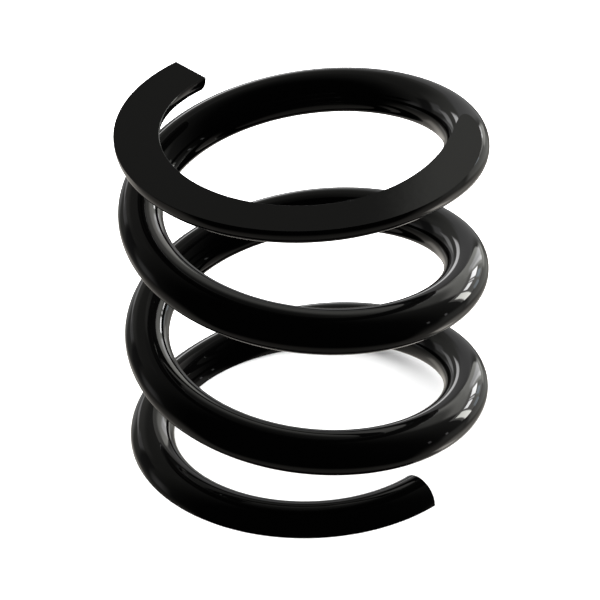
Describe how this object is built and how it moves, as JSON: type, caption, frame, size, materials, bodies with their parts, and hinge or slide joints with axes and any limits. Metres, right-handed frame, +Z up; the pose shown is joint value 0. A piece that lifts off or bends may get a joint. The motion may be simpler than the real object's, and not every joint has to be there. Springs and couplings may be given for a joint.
{
  "type": "coil spring",
  "caption": "Left-hand wound compression coil spring of round wire, with flat ground ends, for vehicle suspension.",
  "frame": {"origin": "where the coil axis meets the lower ground face", "axes": "+Z up the coil axis, towards the upper ground face; the lower tip of the wire lies at 312.4 degrees and the upper tip at 132.4 degrees, counterclockwise from +X seen from above"},
  "size_m": [0.114, 0.114, 0.1124],
  "materials": {
    "black_coating": "gloss"
  },
  "bodies": {
    "lower_end": {"lower_end_coil_1": "black_coating", "lower_end_coil_2": "black_coating", "lower_end_coil_3": "black_coating"},
    "lower_transition": {"lower_transition": "black_coating"},
    "active_coil_01": {"active_coil_01": "black_coating"},
    "active_coil_02": {"active_coil_02": "black_coating"},
    "active_coil_03": {"active_coil_03": "black_coating"},
    "active_coil_04": {"active_coil_04": "black_coating"},
    "active_coil_05": {"active_coil_05": "black_coating"},
    "active_coil_06": {"active_coil_06": "black_coating"},
    "active_coil_07": {"active_coil_07": "black_coating"},
    "active_coil_08": {"active_coil_08": "black_coating"},
    "active_coil_09": {"active_coil_09": "black_coating"},
    "active_coil_10": {"active_coil_10": "black_coating"},
    "active_coil_11": {"active_coil_11": "black_coating"},
    "active_coil_12": {"active_coil_12": "black_coating"},
    "active_coil_13": {"active_coil_13": "black_coating"},
    "active_coil_14": {"active_coil_14": "black_coating"},
    "active_coil_15": {"active_coil_15": "black_coating"},
    "active_coil_16": {"active_coil_16": "black_coating"},
    "active_coil_17": {"active_coil_17": "black_coating"},
    "active_coil_18": {"active_coil_18": "black_coating"},
    "active_coil_19": {"active_coil_19": "black_coating"},
    "upper_transition": {"upper_transition": "black_coating"},
    "upper_end": {"upper_end_coil_1": "black_coating", "upper_end_coil_2": "black_coating", "upper_end_coil_3": "black_coating"}
  },
  "joints": [
    {"name": "compression", "type": "slide", "parent": "lower_end", "child": "upper_end", "axis": [0, 0, -1], "range_m": [0, 0.036], "stiffness_N_per_m": 152000},
    {"name": "lower_transition_slide", "type": "slide", "parent": "lower_end", "child": "lower_transition", "axis": [0, 0, -1], "range_m": [0, 0.000451]},
    {"name": "active_coil_01_slide", "type": "slide", "parent": "lower_end", "child": "active_coil_01", "axis": [0, 0, -1], "range_m": [0, 0.0018]},
    {"name": "active_coil_02_slide", "type": "slide", "parent": "lower_end", "child": "active_coil_02", "axis": [0, 0, -1], "range_m": [0, 0.0036]},
    {"name": "active_coil_03_slide", "type": "slide", "parent": "lower_end", "child": "active_coil_03", "axis": [0, 0, -1], "range_m": [0, 0.0054]},
    {"name": "active_coil_04_slide", "type": "slide", "parent": "lower_end", "child": "active_coil_04", "axis": [0, 0, -1], "range_m": [0, 0.0072]},
    {"name": "active_coil_05_slide", "type": "slide", "parent": "lower_end", "child": "active_coil_05", "axis": [0, 0, -1], "range_m": [0, 0.009]},
    {"name": "active_coil_06_slide", "type": "slide", "parent": "lower_end", "child": "active_coil_06", "axis": [0, 0, -1], "range_m": [0, 0.0108]},
    {"name": "active_coil_07_slide", "type": "slide", "parent": "lower_end", "child": "active_coil_07", "axis": [0, 0, -1], "range_m": [0, 0.0126]},
    {"name": "active_coil_08_slide", "type": "slide", "parent": "lower_end", "child": "active_coil_08", "axis": [0, 0, -1], "range_m": [0, 0.0144]},
    {"name": "active_coil_09_slide", "type": "slide", "parent": "lower_end", "child": "active_coil_09", "axis": [0, 0, -1], "range_m": [0, 0.0162]},
    {"name": "active_coil_10_slide", "type": "slide", "parent": "lower_end", "child": "active_coil_10", "axis": [0, 0, -1], "range_m": [0, 0.018]},
    {"name": "active_coil_11_slide", "type": "slide", "parent": "lower_end", "child": "active_coil_11", "axis": [0, 0, -1], "range_m": [0, 0.0198]},
    {"name": "active_coil_12_slide", "type": "slide", "parent": "lower_end", "child": "active_coil_12", "axis": [0, 0, -1], "range_m": [0, 0.0216]},
    {"name": "active_coil_13_slide", "type": "slide", "parent": "lower_end", "child": "active_coil_13", "axis": [0, 0, -1], "range_m": [0, 0.0234]},
    {"name": "active_coil_14_slide", "type": "slide", "parent": "lower_end", "child": "active_coil_14", "axis": [0, 0, -1], "range_m": [0, 0.0252]},
    {"name": "active_coil_15_slide", "type": "slide", "parent": "lower_end", "child": "active_coil_15", "axis": [0, 0, -1], "range_m": [0, 0.027]},
    {"name": "active_coil_16_slide", "type": "slide", "parent": "lower_end", "child": "active_coil_16", "axis": [0, 0, -1], "range_m": [0, 0.0288]},
    {"name": "active_coil_17_slide", "type": "slide", "parent": "lower_end", "child": "active_coil_17", "axis": [0, 0, -1], "range_m": [0, 0.0306]},
    {"name": "active_coil_18_slide", "type": "slide", "parent": "lower_end", "child": "active_coil_18", "axis": [0, 0, -1], "range_m": [0, 0.0324]},
    {"name": "active_coil_19_slide", "type": "slide", "parent": "lower_end", "child": "active_coil_19", "axis": [0, 0, -1], "range_m": [0, 0.0342]},
    {"name": "upper_transition_slide", "type": "slide", "parent": "lower_end", "child": "upper_transition", "axis": [0, 0, -1], "range_m": [0, 0.03555]}
  ],
  "couplings": [
    {"joint": "lower_transition_slide", "follows": "compression", "ratio": 0.0125},
    {"joint": "active_coil_01_slide", "follows": "compression", "ratio": 0.05},
    {"joint": "active_coil_02_slide", "follows": "compression", "ratio": 0.1},
    {"joint": "active_coil_03_slide", "follows": "compression", "ratio": 0.15},
    {"joint": "active_coil_04_slide", "follows": "compression", "ratio": 0.2},
    {"joint": "active_coil_05_slide", "follows": "compression", "ratio": 0.25},
    {"joint": "active_coil_06_slide", "follows": "compression", "ratio": 0.3},
    {"joint": "active_coil_07_slide", "follows": "compression", "ratio": 0.35},
    {"joint": "active_coil_08_slide", "follows": "compression", "ratio": 0.4},
    {"joint": "active_coil_09_slide", "follows": "compression", "ratio": 0.45},
    {"joint": "active_coil_10_slide", "follows": "compression", "ratio": 0.5},
    {"joint": "active_coil_11_slide", "follows": "compression", "ratio": 0.55},
    {"joint": "active_coil_12_slide", "follows": "compression", "ratio": 0.6},
    {"joint": "active_coil_13_slide", "follows": "compression", "ratio": 0.65},
    {"joint": "active_coil_14_slide", "follows": "compression", "ratio": 0.7},
    {"joint": "active_coil_15_slide", "follows": "compression", "ratio": 0.75},
    {"joint": "active_coil_16_slide", "follows": "compression", "ratio": 0.8},
    {"joint": "active_coil_17_slide", "follows": "compression", "ratio": 0.85},
    {"joint": "active_coil_18_slide", "follows": "compression", "ratio": 0.9},
    {"joint": "active_coil_19_slide", "follows": "compression", "ratio": 0.95},
    {"joint": "upper_transition_slide", "follows": "compression", "ratio": 0.9875}
  ]
}
